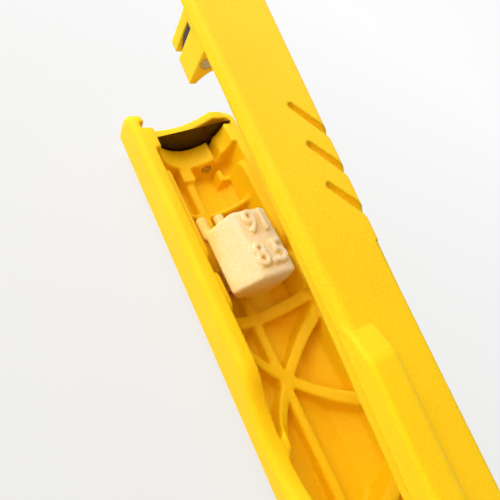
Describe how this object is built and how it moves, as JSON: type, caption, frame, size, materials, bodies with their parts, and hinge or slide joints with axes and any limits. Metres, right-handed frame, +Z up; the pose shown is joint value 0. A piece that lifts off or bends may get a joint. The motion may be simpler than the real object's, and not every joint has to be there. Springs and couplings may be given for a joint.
{
  "type": "solar cable stripper",
  "caption": "Hand stripper for solar cable: a ribbed trough arm and a sprung lever arm with V blades, and a sliding length stop.",
  "frame": {"origin": "on the flat sole of the trough arm, straight below the hinge pin's axis", "axes": "+X from the mouth to the hinge and on to the tail, +Y to the right side seen from the tail to the mouth with the lever up, +Z up from the sole to the lever"},
  "size_m": [0.12, 0.0164, 0.0268],
  "materials": {
    "yellow_plastic": "fine spark-eroded grain",
    "cream_plastic": "fine grain, slightly translucent",
    "blade_steel": "ground",
    "pin_steel": "bright drawn",
    "spring_steel": "drawn wire"
  },
  "bodies": {
    "trough": {"lower_arm": "yellow_plastic", "lower_blade": "blade_steel", "lower_blade_pin": "pin_steel", "hinge_pin": "pin_steel", "pin_retainer": "spring_steel", "hinge_washers": "cream_plastic", "opening_spring": "spring_steel"},
    "lever": {"upper_arm": "yellow_plastic", "upper_blade": "blade_steel", "upper_blade_pin": "pin_steel"},
    "stop": {"length_stop": "cream_plastic", "stop_clip": "spring_steel"}
  },
  "joints": [
    {"name": "arm_hinge", "type": "hinge", "parent": "trough", "child": "lever", "pos_m": [0, 0, 0.006], "axis": [0, -1, 0], "range_deg": [0, 5.5], "stiffness_Nm_per_rad": 0.15, "springref_deg": -11.46, "deforming": ["opening_spring"]},
    {"name": "stop_slide", "type": "slide", "parent": "trough", "child": "stop", "axis": [-1, 0, 0], "range_m": [0, 0.0075]}
  ]
}
